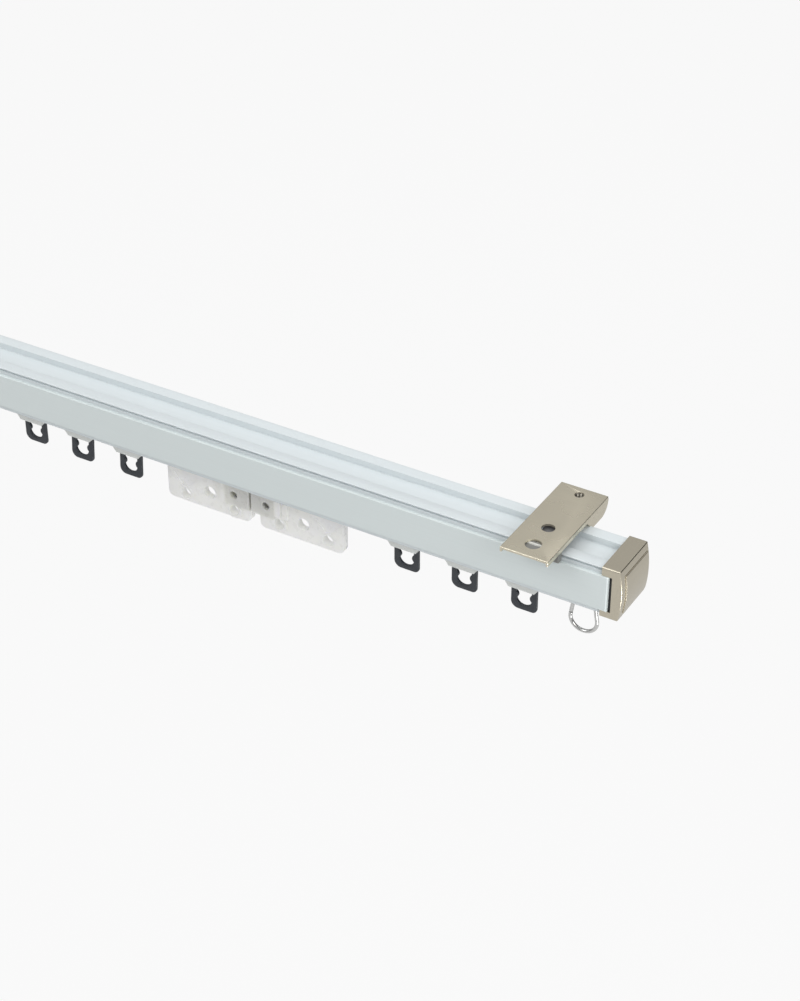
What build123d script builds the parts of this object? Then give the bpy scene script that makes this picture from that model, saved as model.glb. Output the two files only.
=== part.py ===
from build123d import *
import os

# A metal-faced curtain track for a pair of curtains, cut to a short length.
# X runs along the track, +Y points to the wall behind it and Z points up.
# The origin is in the ceiling plane, midway between the two bracket screw holes.
# All sizes are in millimetres.

# Rail extrusion
rail_length = 409.0
rail_depth = 24.1
rail_height = 23.85
rail_wall = 1.2
rail_drop = 5.55
rail_front_y = -7.1
rail_corner = 0.4
rear_lip = 1.1
band_depth = 6.2
top_channel_drop = 3.1
runner_channel_width = 11.4
runner_channel_height = 8.8
slot_width = 5.2
slot_from_front = 12.5
claw_groove_height = 1.1
claw_groove_depth = 1.2
claw_groove_below_top = 0.5

# Front panel, snapped on the rail
panel_thickness = 1.5
panel_height = 17.75
panel_bottom_rise = 2.65
panel_rib_height = 1.0
panel_rib_reach = 0.75
panel_rib_inset = 3.6
panel_rib_clearance = 0.1

# End covers
cover_wall = 0.8
cover_clearance = 0.1
cover_overlap = 3.4
cover_notch_depth = 4.9
cover_notch_clearance = 0.15
cover_side_length = 8.4
cover_crown = 1.5
cover_edge_round = 0.6
cover_end_thickness = 1.1
field_inset_front = 4.0
field_inset_back = 1.3
field_inset_top = 3.9
field_inset_bottom = 2.4
field_rise = 0.45
field_round = 0.27

# End stops inside the covers, each with an eye for the end ring
stop_clearance = 0.2
stop_tongue_length = 20.9
stop_neck_clearance = 0.3
stop_boss_width = 8.0
stop_boss_height = 1.6
lug_length = 5.5
lug_width = 5.2
lug_height = 5.55
lug_round = 2.5
lug_from_cover = 13.2
ring_eye_drop = 3.25

# End ring of bent wire
wire_diameter = 1.8
end_ring_top_width = 8.8
end_ring_bottom_width = 15.2
end_ring_height = 19.3
end_ring_top_bend = 2.0
end_ring_bottom_bend = 6.2
end_ring_joint_gap = 0.2
end_ring_joint_height = 8.0
wire_clearance = 0.07

# Stop screws
screw_diameter = 3.0
screw_head_diameter = 5.0
screw_head_height = 1.4
screw_head_round = 0.55
screw_length = 8.0
screw_from_cover = 4.3
screw_clearance = 0.02
screw_tip_gap = 0.2
screw_recess_width = 0.9
screw_recess_length = 2.6
screw_recess_depth = 0.8

# Brackets
bracket_width = 23.0
bracket_length = 57.4
bracket_thickness = 1.0
bracket_bend = 0.4
bracket_corner = 0.4
bracket_from_cover = 29.7
bracket_front_reach = 22.5
flange_depth = 2.4
screw_hole_diameter = 6.1
access_hole_diameter = 7.4
access_hole_forward = 13.7
threaded_hole_diameter = 4.4
threaded_hole_back = 29.3
collar_wall = 0.9
collar_depth = 3.0
ear_length = 19.2
ear_front_lean = 2.6
ear_below_lip = 1.0
ear_nose_reach = 1.0
ear_clearance = 0.15
ear_round = 6.5
tab_reach = 0.9
tab_length = 3.2
tab_thickness = 0.45

# Release levers under the bracket plates
lever_thickness = 0.8
lever_clearance = 0.05
lever_length = 31.0
lever_front_inset = 3.2
lever_slot_width = 8.8
lever_slot_round = 2.0
lever_rail = 3.0
lever_pad_length = 11.0
pad_recess_front = 1.6
pad_recess_length = 8.4
pad_recess_depth = 0.4
pad_bar_place = 8.1
pad_bar_width = 2.0
claw_width = 3.6
claw_thickness = 3.8
claw_round = 1.5
claw_nose_reach = 1.0
claw_clearance = 0.12
claw_bottom_gap = 0.3
thumb_tab_width = 9.0
thumb_tab_depth = 1.5
thumb_tab_round = 1.0

# Glide heads that run in the rail
head_length = 12.0
head_pad_height = 2.1
head_side_clearance = 0.4
head_top_width = 6.4
head_crest_length = 9.8
head_height = 7.0
head_float = 0.1
head_round = 2.2
neck_length = 7.0
neck_side_clearance = 0.4

# Runner bodies
body_width = 17.2
body_thickness = 7.4
body_height = 8.2
body_below_rail = 1.35
body_corner = 2.2
body_top_corner = 3.0
body_wall_at_pin = 1.95
body_slot_depth = 6.2
body_slot_wall = 0.8
pin_hole_wall = 0.4

# Runner rings
ring_side_clearance = 0.2
ring_thickness = 1.8
ring_height = 17.5
ring_top_gap = 1.4
ring_pin_drop = 1.8
ring_pin_diameter = 1.6
ring_pin_clearance = 0.06
ring_pin_inset = 0.6
ring_left_corner = 4.2
ring_right_corner = 2.2
ring_leg = 2.65
ring_bottom = 2.4
ring_opening_straight = 4.9
ring_nub_radius = 1.9
ring_nub_reach = 1.0
ring_nub_rise = 1.1
ring_edge = 0.15

# Magnet carriers
carrier_thickness = 3.6
carrier_height = 23.6
carrier_below_rail = 1.75
left_carrier_reach = 47.2
right_carrier_reach = 51.2
carrier_corner = 3.0
carrier_top_corner = 1.5
notch_height = 6.7
notch_reach = 5.3
hook_hole_diameter = 5.6
right_hook_height = 5.0
left_hook_height = 4.1
centre_hole_diameter = 6.5
centre_hole_height = 9.3
hole_disc_width = 1.5
outer_disc_rise = 0.15
inner_disc_rise = 0.5
funnel_half_width = 7.4
funnel_height = 8.5
funnel_above_hole = 2.3
funnel_depth = 0.4
glide_boss_width = 3.6
glide_boss_rise = 0.9
glide_boss_round = 0.8
glide_boss_above_hole = 3.8
inner_glide_place = 19.3
right_inner_hole = 16.0
right_outer_hole_from_end = 8.5
left_inner_hole = 9.2
left_outer_hole_from_end = 10.1

# Magnets in the carriers' meeting ends
magnet_face_gap = 0.3
magnet_proud = 0.4
magnet_slit_above_step = 1.5
magnet_length = 10.0
magnet_thickness = 1.8
magnet_set_back = 0.8
magnet_height = 13.0
magnet_clearance = 0.1
magnet_above_notch = 1.8
magnet_window_place = 9.0
magnet_window_diameter = 4.2
magnet_window_height = 13.0
housing_length = 17.2
housing_rise = 0.9
housing_bevel = 0.4

# Feet that seat the glide heads in the carriers
foot_depth = 4.8
foot_clearance = 0.1
foot_width = 6.4
foot_thickness = 2.0

# Overlap of joined solids, reach of a cut past a face, and tolerance for picking corners
join = 0.5
past = 1.0
near = 0.01

# Places along the track
meeting_offset = 14.6
right_park_gap = 12.1
right_pitches = (30.25, 29.9)
left_first_gap = 13.9
left_pitches = (29.0, 29.2)
left_ring_swings = (-4.0, -5.0, 0.0)

# Heights and depths that follow from the sizes above
rail_top = -rail_drop
rail_bottom = rail_top - rail_height
rail_back_y = rail_front_y + rail_depth
rail_lip_y = rail_back_y + rear_lip
slot_y = rail_front_y + slot_from_front
channel_floor = rail_top - top_channel_drop
lip_top = rail_bottom + rail_wall
channel_roof = lip_top + runner_channel_height
panel_bottom = rail_bottom + panel_bottom_rise
panel_top = panel_bottom + panel_height
panel_front_y = rail_front_y - panel_thickness
rail_end_x = rail_length / 2
cover_x = rail_end_x - cover_overlap
cover_front_y = rail_front_y - cover_clearance - cover_wall
cover_back_y = rail_lip_y + cover_clearance + cover_wall
cover_top = rail_top + cover_clearance + cover_wall
cover_bottom = rail_bottom - cover_clearance - cover_wall
lug_x = cover_x - lug_from_cover
eye_z = rail_bottom - ring_eye_drop
bracket_x = cover_x - bracket_from_cover
bracket_front_y = -bracket_front_reach
bracket_back_y = bracket_front_y + bracket_length
body_top = rail_bottom - body_below_rail
body_bottom = body_top - body_height
slot_roof = body_bottom + body_slot_depth
ring_top = slot_roof - ring_top_gap
ring_pin_z = ring_top - ring_pin_drop
ring_width = body_width - 2 * body_wall_at_pin - 2 * ring_side_clearance
carrier_top = rail_bottom - carrier_below_rail
carrier_bottom = carrier_top - carrier_height
end_ring_half = end_ring_bottom_width / 2 + wire_diameter / 2


def block(x0, x1, y0, y1, z0, z1):
    """A box between two corners."""
    return Pos((x0 + x1) / 2, (y0 + y1) / 2, (z0 + z1) / 2) * Box(x1 - x0, y1 - y0, z1 - z0)


def area(u0, u1, v0, v1):
    """A rectangle between two corners of a sketch."""
    return Pos((u0 + u1) / 2, (v0 + v1) / 2) * Rectangle(u1 - u0, v1 - v0)


def along_x(section, x0, x1):
    """A section drawn in Y and Z, pulled along the track from x0 to x1."""
    return Pos(x0, 0, 0) * extrude(Plane.YZ * section, x1 - x0)


def through_y(section, y_middle, thickness):
    """A section drawn in X and Z, given a thickness about the plane y_middle."""
    return Pos(0, y_middle, 0) * extrude(Plane.XZ * section, thickness / 2, both=True)


def outline(*points):
    """A closed face with straight sides."""
    return make_face(Polyline(*points, close=True))


def save(node, solid):
    """Write one piece to its own file."""
    export_step(solid, "parts/" + node + ".step")


def rail_section():
    """Bands, top channel, side boxes and the runner channel with its slot."""
    half_channel = runner_channel_width / 2
    half_slot = slot_width / 2
    channel_front = rail_front_y + band_depth
    channel_back = rail_lip_y - band_depth
    walls = area(rail_front_y, rail_front_y + rail_wall, rail_bottom, rail_top)
    walls += area(rail_back_y - rail_wall, rail_back_y, rail_bottom, rail_top)
    walls += area(rail_front_y, channel_front, rail_top - rail_wall, rail_top)
    walls += area(channel_back, rail_lip_y, rail_top - rail_wall, rail_top)
    walls += area(channel_front - rail_wall, channel_front, channel_floor - rail_wall, rail_top)
    walls += area(channel_back, channel_back + rail_wall, channel_floor - rail_wall, rail_top)
    floor_low = channel_floor - rail_wall
    walls += area(channel_front - rail_wall, channel_back + rail_wall, floor_low, channel_floor)
    web_top = channel_floor - rail_wall / 2
    walls += area(slot_y - half_channel - rail_wall, slot_y - half_channel, rail_bottom, web_top)
    walls += area(slot_y + half_channel, slot_y + half_channel + rail_wall, rail_bottom, web_top)
    walls += area(rail_front_y, slot_y - half_slot, rail_bottom, lip_top)
    walls += area(slot_y + half_slot, rail_back_y, rail_bottom, lip_top)
    walls += area(slot_y - half_channel, slot_y + half_channel, channel_roof, channel_roof + rail_wall)
    backing = claw_groove_depth + rail_wall
    groove_top = rail_top - claw_groove_below_top
    walls += area(rail_front_y, rail_front_y + backing, groove_top - claw_groove_height - rail_wall, rail_top)
    for z in panel_rib_heights():
        half_boss = panel_rib_height / 2 + rail_wall
        walls += area(rail_front_y, rail_front_y + panel_rib_reach + rail_wall, z - half_boss, z + half_boss)
    walls -= area(rail_front_y, rail_front_y + claw_groove_depth, groove_top - claw_groove_height, groove_top)
    for z in panel_rib_heights():
        half_groove = panel_rib_height / 2 + panel_rib_clearance
        groove_y = rail_front_y + panel_rib_reach + panel_rib_clearance
        walls -= area(rail_front_y, groove_y, z - half_groove, z + half_groove)
    rounded = [v for v in walls.vertices() if abs(v.Y - rail_top) < near or abs(v.Y - rail_bottom) < near]
    outer = [v for v in rounded if v.X < rail_front_y + near or v.X > rail_lip_y - near]
    return fillet(outer, rail_corner)


def panel_rib_heights():
    """The two heights at which the panel's ribs snap into the rail."""
    return panel_bottom + panel_rib_inset, panel_top - panel_rib_inset


def rail():
    return along_x(rail_section(), -rail_end_x, rail_end_x)


def front_panel():
    """A flat strip with two snap ribs on its back."""
    section = area(panel_front_y, rail_front_y, panel_bottom, panel_top)
    front = [v for v in section.vertices() if v.X < panel_front_y + near]
    section = fillet(front, rail_corner)
    for z in panel_rib_heights():
        section += area(rail_front_y - panel_thickness / 2, rail_front_y + panel_rib_reach,
                        z - panel_rib_height / 2, z + panel_rib_height / 2)
    return along_x(section, -rail_end_x, rail_end_x)


def end_profile(crown, corner_x):
    """The cover seen from the front: square at the rail, bowed outward at its end."""
    corner = cover_x + corner_x
    middle = (cover_top + cover_bottom) / 2
    edges = Polyline((corner, cover_bottom), (cover_x, cover_bottom),
                     (cover_x, cover_top), (corner, cover_top))
    bow = ThreePointArc((corner, cover_top), (corner + crown, middle), (corner, cover_bottom))
    return make_face([*edges.edges(), bow])


def end_cover():
    """The right cover: a bowed cap with a raised field and a notch for the panel."""
    depth = cover_back_y - cover_front_y
    middle_y = (cover_front_y + cover_back_y) / 2
    cap = through_y(end_profile(cover_crown, cover_side_length), middle_y, depth)
    lengthwise = [e for e in cap.edges().filter_by(Axis.X)]
    ends = [e for e in cap.edges() if e.center().X > cover_x + cover_side_length - near]
    cap = fillet(lengthwise + ends, cover_edge_round)
    field = through_y(end_profile(cover_crown, cover_side_length + field_rise), middle_y, depth)
    field &= block(cover_x + cover_side_length / 2, cover_x + cover_side_length + cover_crown + past,
                   cover_front_y + field_inset_front, cover_back_y - field_inset_back,
                   cover_bottom + field_inset_bottom, cover_top - field_inset_top)
    rim = [e for e in field.edges() if e.center().X > cover_x + cover_side_length]
    cap += fillet(rim, field_round)
    cavity_end = cover_x + cover_side_length - cover_end_thickness
    cap -= block(cover_x - past, cavity_end, cover_front_y + cover_wall, cover_back_y - cover_wall,
                 cover_bottom + cover_wall, cover_top - cover_wall)
    notch_back = cover_front_y + cover_wall + join
    cap -= block(cover_x - past, cover_x + cover_notch_depth, cover_front_y - past, notch_back,
                 panel_bottom - cover_notch_clearance, panel_top + cover_notch_clearance)
    return cap


def end_stop():
    """The right stop: a plug in the cover, a tongue in the runner channel, a boss and an eye."""
    cavity_end = cover_x + cover_side_length - cover_end_thickness
    stop = block(rail_end_x + cover_clearance, cavity_end - cover_clearance, rail_front_y, rail_lip_y,
                 rail_bottom, rail_top)
    tongue_x = rail_end_x - stop_tongue_length
    half_tongue = runner_channel_width / 2 - stop_clearance
    stop += block(tongue_x, rail_end_x + past, slot_y - half_tongue, slot_y + half_tongue,
                  lip_top + stop_clearance, channel_roof - stop_clearance)
    half_neck = slot_width / 2 - stop_neck_clearance
    boss_top = rail_bottom - stop_clearance
    stop += block(tongue_x, cover_x - stop_clearance, slot_y - half_neck, slot_y + half_neck,
                  boss_top - stop_boss_height, lip_top + stop_clearance + join)
    half_boss = stop_boss_width / 2
    stop += block(tongue_x, cover_x - stop_clearance, slot_y - half_boss, slot_y + half_boss,
                  boss_top - stop_boss_height, boss_top)
    lug = area(slot_y - lug_width / 2, slot_y + lug_width / 2, rail_bottom - lug_height, boss_top - join)
    low = [v for v in lug.vertices() if v.Y < rail_bottom - lug_height + near]
    lug = fillet(low, lug_round)
    stop += along_x(lug, lug_x - lug_length / 2, lug_x + lug_length / 2)
    eye = Pos(lug_x, slot_y, eye_z) * Rot(0, 90, 0)
    eye = eye * Cylinder(wire_diameter / 2 + wire_clearance, lug_length + 2 * past)
    screw_x = cover_x - screw_from_cover
    shank_hole = Pos(screw_x, slot_y, boss_top - stop_boss_height + screw_length / 2)
    shank_hole = shank_hole * Cylinder(screw_diameter / 2 + screw_clearance, screw_length + 2 * screw_tip_gap)
    return stop - eye - shank_hole


def stop_screw():
    """A pan-head screw with a cross recess, driven up through the right stop."""
    seat = rail_bottom - stop_clearance - stop_boss_height
    head = Pos(0, 0, seat - screw_head_height / 2) * Cylinder(screw_head_diameter / 2, screw_head_height)
    head = fillet(head.edges().group_by(Axis.Z)[0], screw_head_round)
    shank = Pos(0, 0, seat + screw_length / 2) * Cylinder(screw_diameter / 2, screw_length)
    low = seat - screw_head_height
    cross = Box(screw_recess_length, screw_recess_width, 2 * screw_recess_depth)
    cross += Box(screw_recess_width, screw_recess_length, 2 * screw_recess_depth)
    return Pos(cover_x - screw_from_cover, slot_y, 0) * (head + shank - Pos(0, 0, low) * cross)


def end_ring():
    """A wire loop through the right stop's eye, wider at its foot, with a butt joint in one leg."""
    half_top = end_ring_top_width / 2
    half_bottom = end_ring_bottom_width / 2
    foot_z = eye_z - end_ring_height
    joint_z = foot_z + end_ring_joint_height
    share = end_ring_joint_height / end_ring_height
    joint_half = half_bottom + (half_top - half_bottom) * share
    gap = end_ring_joint_gap / 2
    route = FilletPolyline(
        (lug_x - joint_half, slot_y, joint_z + gap),
        (lug_x - half_top, slot_y, eye_z),
        (lug_x + half_top, slot_y, eye_z),
        (lug_x + half_bottom, slot_y, foot_z),
        (lug_x - half_bottom, slot_y, foot_z),
        (lug_x - joint_half, slot_y, joint_z - gap),
        radius=[end_ring_top_bend, end_ring_top_bend, end_ring_bottom_bend, end_ring_bottom_bend])
    section = Plane(origin=route @ 0, z_dir=route % 0) * Circle(wire_diameter / 2)
    return sweep(section, path=route)


def bracket_plate():
    """A plate with turned-down sides, three holes and two rear hooks."""
    half = bracket_width / 2
    inner = half - bracket_thickness
    tray = block(-half, half, bracket_front_y, bracket_back_y, -flange_depth, 0)
    upright = tray.edges().filter_by(Axis.Z).group_by(Axis.Y)
    tray = fillet(upright[0] + upright[-1], bracket_corner)
    sides = tray.edges().group_by(Axis.Z)[-1]
    tray = fillet(sides, bracket_bend)
    tray -= block(-inner, inner, bracket_front_y - past, bracket_back_y + past,
                  -flange_depth - past, -bracket_thickness)
    ear = rear_hook()
    tray += Pos(inner, 0, 0) * ear + Pos(-half, 0, 0) * ear
    tray += retaining_tabs(inner)
    collar = Pos(0, threaded_hole_back, -bracket_thickness - collar_depth / 2)
    collar_radius = threaded_hole_diameter / 2 + collar_wall
    tray += collar * Cylinder(collar_radius, collar_depth)
    for y, diameter in ((0, screw_hole_diameter), (-access_hole_forward, access_hole_diameter),
                        (threaded_hole_back, threaded_hole_diameter)):
        tray -= Pos(0, y, -flange_depth / 2) * Cylinder(diameter / 2, flange_depth + 2 * past)
    return tray


def rear_hook():
    """One ear: it drops behind the rail and its nose reaches under the rear lip."""
    lip_under = rail_top - rail_wall
    nose_top = lip_under - ear_clearance
    low = nose_top - ear_below_lip
    mouth_y = rail_lip_y + ear_clearance
    nose_y = rail_lip_y - ear_nose_reach
    root = -bracket_thickness
    back = mouth_y + ear_length - ear_front_lean
    profile = outline((nose_y - ear_front_lean, root), (nose_y - ear_front_lean, -flange_depth),
                      (nose_y, rail_top + ear_clearance), (mouth_y, rail_top + ear_clearance),
                      (mouth_y, nose_top), (nose_y, nose_top), (nose_y, low), (back, low), (back, root))
    heel = [v for v in profile.vertices() if v.X > back - near and v.Y < low + near]
    profile = fillet(heel, ear_round)
    return along_x(profile, 0, bracket_thickness)


def retaining_tabs(inner):
    """Four small tabs, bent in from the sides, that carry the lever."""
    lever_bottom = -bracket_thickness - lever_clearance - lever_thickness
    top = lever_bottom - lever_clearance
    tabs = []
    for y in (bracket_front_y + 2 * lever_front_inset, bracket_front_y + lever_length - tab_length):
        for x0, x1 in ((-inner - join, tab_reach - inner), (inner - tab_reach, inner + join)):
            tabs.append(block(x0, x1, y, y + tab_length, top - tab_thickness, top))
    return tabs


def release_lever():
    """A sliding frame under the plate, with a grip bar and two claws that hook the rail's front groove."""
    inner = bracket_width / 2 - bracket_thickness - 2 * lever_clearance
    top = -bracket_thickness - lever_clearance
    front = bracket_front_y + lever_front_inset
    frame = block(-inner, inner, front, front + lever_length, top - lever_thickness, top)
    half_slot = lever_slot_width / 2
    slot = block(-half_slot, half_slot, front + lever_pad_length, front + lever_length - lever_rail,
                 top - lever_thickness - past, top + past)
    frame -= fillet(slot.edges().filter_by(Axis.Z), lever_slot_round)
    recess_front = front + pad_recess_front
    bar_front = front + pad_bar_place - pad_bar_width / 2
    bar_back = bar_front + pad_bar_width
    recess_low = top - pad_recess_depth
    frame -= block(-half_slot, half_slot, recess_front, bar_front, recess_low, top + past)
    frame -= block(-half_slot, half_slot, bar_back, recess_front + pad_recess_length, recess_low, top + past)
    claw_back = rail_front_y - claw_clearance
    groove_top = rail_top - claw_groove_below_top
    nose_top = groove_top - claw_clearance
    nose_low = groove_top - claw_groove_height + claw_clearance
    claw_low = panel_top + claw_bottom_gap
    claw = area(claw_back - claw_thickness, claw_back, claw_low, top - lever_thickness / 2)
    corners = [v for v in claw.vertices() if v.Y < claw_low + near]
    claw = fillet(corners, claw_round)
    claw += area(claw_back - join, claw_back + claw_nose_reach, nose_low, nose_top)
    for x0 in (-inner, inner - claw_width):
        frame += along_x(claw, x0, x0 + claw_width)
    tab = block(-thumb_tab_width / 2, thumb_tab_width / 2, front, front + lever_thickness,
                top - lever_thickness - thumb_tab_depth, top)
    frame += fillet(tab.edges().filter_by(Axis.Y).group_by(Axis.Z)[0], thumb_tab_round)
    return frame


def glide_head(neck_low):
    """A T-shaped glide with its neck down through the slot to neck_low, at x 0."""
    pad_low = lip_top + head_float
    half_pad = runner_channel_width / 2 - head_side_clearance
    pad = Pos(0, slot_y, pad_low + head_pad_height / 2) * Box(head_length, 2 * half_pad, head_pad_height)
    pad = fillet(pad.edges().filter_by(Axis.Z), head_round)
    crest = Box(head_crest_length, head_top_width, head_height)
    crest = Pos(0, slot_y, pad_low + head_height / 2) * crest
    crest = fillet(crest.edges().filter_by(Axis.Y).group_by(Axis.Z)[-1], head_round)
    half_neck = slot_width / 2 - neck_side_clearance
    neck = block(-neck_length / 2, neck_length / 2, slot_y - half_neck, slot_y + half_neck,
                 neck_low, pad_low + join)
    return pad + crest + neck


def runner_body():
    """A glide head with a skirted body below the rail, slotted for the ring, at x 0."""
    half = body_width / 2
    face = area(-half, half, body_bottom, body_top)
    low = [v for v in face.vertices() if v.Y < body_bottom + near]
    face = fillet(low, body_corner)
    high = [v for v in face.vertices() if v.Y > body_top - near]
    face = chamfer(high, body_top_corner)
    body = through_y(face, slot_y, body_thickness) + glide_head(body_top - join)
    half_slot = body_thickness / 2 - body_slot_wall
    inner = half - body_wall_at_pin
    body -= block(-inner, inner, slot_y - half_slot, slot_y + half_slot, body_bottom - past, slot_roof)
    pin_reach = half - pin_hole_wall
    pin_hole = Pos(0, slot_y, ring_pin_z) * Rot(0, 90, 0)
    return body - pin_hole * Cylinder(ring_pin_diameter / 2 + ring_pin_clearance, 2 * pin_reach)


def runner_ring():
    """A flat ring with two nubs in its opening and two pivot pins, at x 0."""
    half = ring_width / 2
    ring_low = ring_top - ring_height
    face = area(-half, half, ring_low, ring_top)
    low = face.vertices().group_by(Axis.Y)[0]
    face = fillet(low.sort_by(Axis.X)[0], ring_left_corner)
    right = face.vertices().group_by(Axis.Y)[0].sort_by(Axis.X)[-1]
    face = fillet(right, ring_right_corner)
    lobe = half - ring_leg
    low_lobe_z = ring_low + ring_bottom + lobe
    high_lobe_z = low_lobe_z + ring_opening_straight
    opening = Pos(0, low_lobe_z) * Circle(lobe) + Pos(0, high_lobe_z) * Circle(lobe)
    opening += area(-lobe, lobe, low_lobe_z, high_lobe_z)
    nub_x = lobe + ring_nub_radius - ring_nub_reach
    for side in (-1, 1):
        opening -= Pos(side * nub_x, low_lobe_z + ring_nub_rise) * Circle(ring_nub_radius)
    face -= opening
    ring = through_y(face, slot_y, ring_thickness)
    flat_faces = ring.faces().filter_by(Axis.Y)
    ring = chamfer(flat_faces.edges().filter_by(GeomType.LINE), ring_edge)
    pin_length = ring_side_clearance + body_wall_at_pin - ring_pin_inset + join
    for side in (-1, 1):
        centre = Pos(side * (half - join + pin_length / 2), slot_y, ring_pin_z)
        ring += centre * Rot(0, 90, 0) * Cylinder(ring_pin_diameter / 2, pin_length)
    return ring


def swung(ring, degrees):
    """A ring turned about its pin, its foot towards the wall."""
    pin = Pos(0, slot_y, ring_pin_z)
    return pin * Rot(degrees, 0, 0) * pin.inverse() * ring


def hole_places(side):
    """Distances of a carrier's hook hole, centre hole and outer hook hole from the meeting plane."""
    inner = right_inner_hole if side > 0 else left_inner_hole
    right_outer = right_carrier_reach - right_outer_hole_from_end
    left_outer = left_carrier_reach - left_outer_hole_from_end
    outer = right_outer if side > 0 else left_outer
    return inner, (inner + outer) / 2, outer


def carrier_outline(side):
    """The carrier seen from the front; the right one is notched below its meeting end."""
    reach = right_carrier_reach if side > 0 else left_carrier_reach
    meeting_face = magnet_face_gap / 2
    foot_start = notch_reach if side > 0 else meeting_face
    step_z = carrier_bottom + notch_height
    slit_z = step_z + magnet_slit_above_step
    shape = area(meeting_face + magnet_proud, reach, slit_z, carrier_top)
    shape += area(meeting_face, reach, step_z, slit_z) + area(foot_start, reach, carrier_bottom, step_z)
    feet = [v for v in shape.vertices() if v.Y < carrier_bottom + near]
    shape = fillet(feet, carrier_corner)
    high = [v for v in shape.vertices() if v.Y > carrier_top - near]
    return fillet(high, carrier_top_corner)


def carrier_funnel(x, z):
    """A shallow triangular recess in both faces, pointing down at the hook hole."""
    apex = z + funnel_above_hole
    top = apex + funnel_height
    face = outline((x, apex), (x + funnel_half_width, top), (x - funnel_half_width, top))
    half = carrier_thickness / 2
    front = through_y(face, slot_y - half, 2 * funnel_depth)
    back = through_y(face, slot_y + half, 2 * funnel_depth)
    return front + back


def carrier_plate(side):
    """A magnet carrier drawn towards +X from its meeting plane: side is +1 for the right, -1 for the left."""
    step_z = carrier_bottom + notch_height
    inner_hole, centre_hole, outer_hole = hole_places(side)
    hook_z = carrier_bottom + (right_hook_height if side > 0 else left_hook_height)
    face = magnet_face_gap / 2 + magnet_proud
    plate = through_y(carrier_outline(side), slot_y, carrier_thickness)
    plate -= carrier_funnel(outer_hole, hook_z)
    disc_radius = hook_hole_diameter / 2 + hole_disc_width
    housing = area(face, housing_length, step_z, carrier_top) & carrier_outline(side)
    housing = through_y(housing, slot_y, carrier_thickness + 2 * housing_rise)
    flat = housing.faces().filter_by(Axis.Y)
    rims = [e for e in flat.edges() if e.center().X > face + near]
    housing = chamfer(rims, housing_bevel)
    clearing = Pos(inner_hole, hook_z) * Circle(disc_radius)
    plate += housing - through_y(clearing, slot_y, carrier_thickness + 2 * housing_rise + past)
    for x, rise in ((inner_hole, inner_disc_rise), (outer_hole, outer_disc_rise)):
        disc = Pos(x, hook_z) * Circle(disc_radius)
        plate += through_y(disc & carrier_outline(side), slot_y, carrier_thickness + 2 * rise)
    if side > 0:
        boss_low = hook_z + glide_boss_above_hole
        boss = area(inner_glide_place - glide_boss_width / 2, inner_glide_place + glide_boss_width / 2,
                    boss_low, carrier_top)
        boss = through_y(boss, slot_y, carrier_thickness + 2 * glide_boss_rise)
        upright = boss.edges().filter_by(Axis.Z)
        plate += fillet(upright, glide_boss_round)
    for x, z, diameter in ((inner_hole, hook_z, hook_hole_diameter), (outer_hole, hook_z, hook_hole_diameter),
                           (centre_hole, carrier_bottom + centre_hole_height, centre_hole_diameter)):
        plate -= Pos(x, slot_y, z) * Rot(90, 0, 0) * Cylinder(diameter / 2, 2 * carrier_thickness)
    pocket = magnet_thickness / 2 + magnet_clearance
    magnet_y = slot_y + magnet_set_back
    low = step_z + magnet_above_notch
    pocket_end = magnet_face_gap / 2 + magnet_length + magnet_clearance
    plate -= block(0, pocket_end, magnet_y - pocket, magnet_y + pocket,
                   low - magnet_clearance, low + magnet_height + magnet_clearance)
    window_depth = carrier_thickness / 2 + housing_rise + past + magnet_set_back
    window = Pos(magnet_window_place, magnet_y - window_depth / 2, carrier_bottom + magnet_window_height)
    plate -= window * Rot(90, 0, 0) * Cylinder(magnet_window_diameter / 2, window_depth)
    for x in (inner_glide_place, outer_hole):
        half_width = foot_width / 2 + foot_clearance
        half_depth = foot_thickness / 2 + foot_clearance
        plate -= block(x - half_width, x + half_width, slot_y - half_depth, slot_y + half_depth,
                       carrier_top - foot_depth - foot_clearance, carrier_top + past)
    return plate


def carrier_magnet():
    """A flat magnet that stands a little proud of the carrier's end, drawn towards +X."""
    low = carrier_bottom + notch_height + magnet_above_notch
    half = magnet_thickness / 2
    middle = slot_y + magnet_set_back
    start = magnet_face_gap / 2
    return block(start, start + magnet_length, middle - half, middle + half, low, low + magnet_height)


def carrier_glide():
    """A glide head whose foot plugs into a carrier, at x 0."""
    foot = block(-foot_width / 2, foot_width / 2, slot_y - foot_thickness / 2, slot_y + foot_thickness / 2,
                 carrier_top - foot_depth, carrier_top + join)
    return glide_head(carrier_top + foot_clearance) + foot


def runner_places():
    """Where the runners stand: the right ones from the end ring, the left ones from their carrier."""
    x = lug_x - end_ring_half - right_park_gap - body_width / 2
    right = [x]
    for pitch in right_pitches:
        x -= pitch
        right.insert(0, x)
    x = meeting_offset - left_carrier_reach - left_first_gap - body_width / 2
    left = [x]
    for pitch in left_pitches:
        x -= pitch
        left.append(x)
    return right, left


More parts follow.
